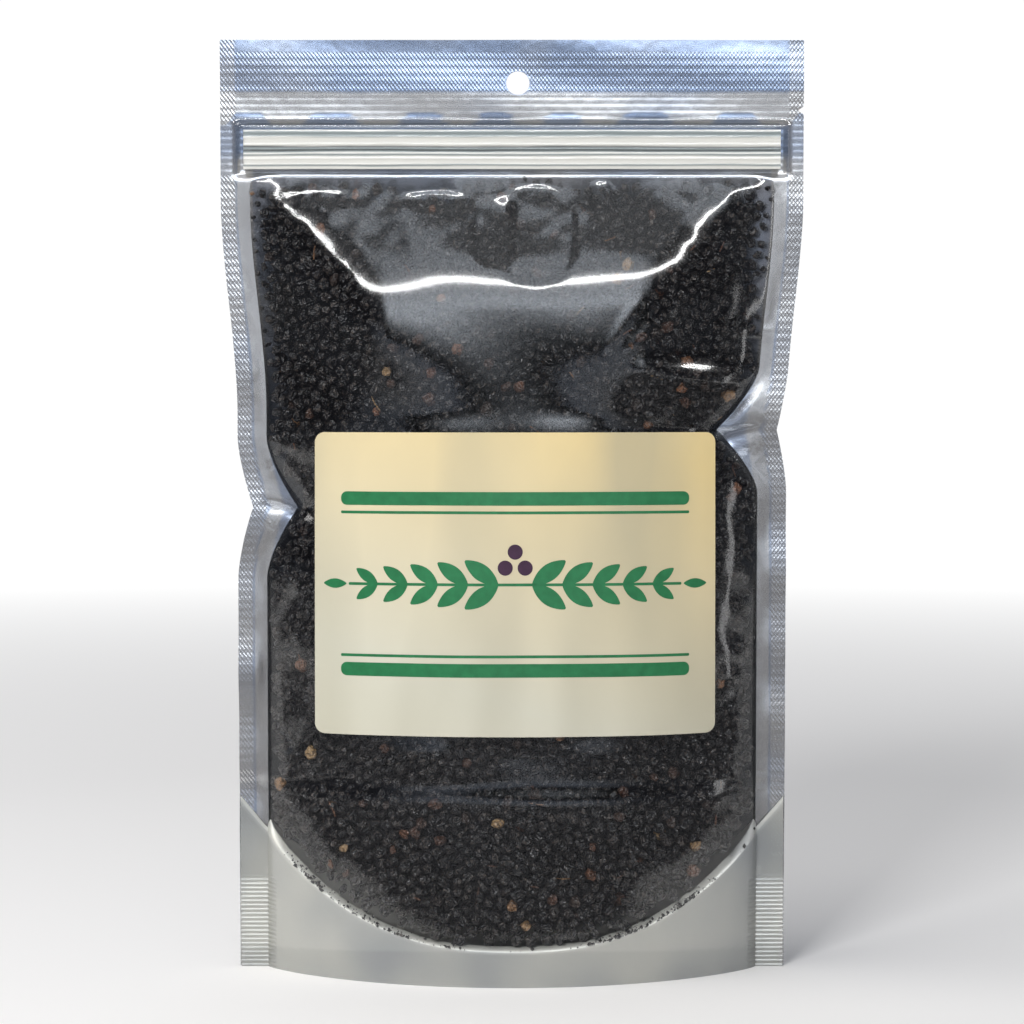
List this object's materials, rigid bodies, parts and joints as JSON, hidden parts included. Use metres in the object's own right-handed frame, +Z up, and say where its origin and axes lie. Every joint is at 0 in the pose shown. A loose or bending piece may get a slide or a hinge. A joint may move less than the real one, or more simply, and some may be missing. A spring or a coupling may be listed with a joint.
{
  "type": "stand-up pouch of dried elderberries",
  "caption": "Filled stand-up zip pouch with a clear front, silvery back and bottom gusset, blank label and hang hole, holding whole dried elderberries.",
  "frame": {"origin": "centre of the standing pouch's footprint, on the surface it stands on", "axes": "+Z up along the pouch's height, -Y towards the clear front, +X to the right seen from the front"},
  "size_m": [0.15, 0.0504, 0.24],
  "materials": {
    "clear_film": "clear glossy heat-sealed film",
    "metallised_film": "satin silver film",
    "zip_plastic": "translucent white",
    "label_paper": "semi-gloss cream label stock",
    "dried_berry": "dry wrinkled skin"
  },
  "bodies": {
    "root": {"front_film": "clear_film", "back_film": "metallised_film", "gusset_film": "metallised_film", "zip_rib_strip": "zip_plastic", "zip_groove_strip": "zip_plastic", "label": "label_paper", "dried_berries": "dried_berry"}
  },
  "joints": []
}
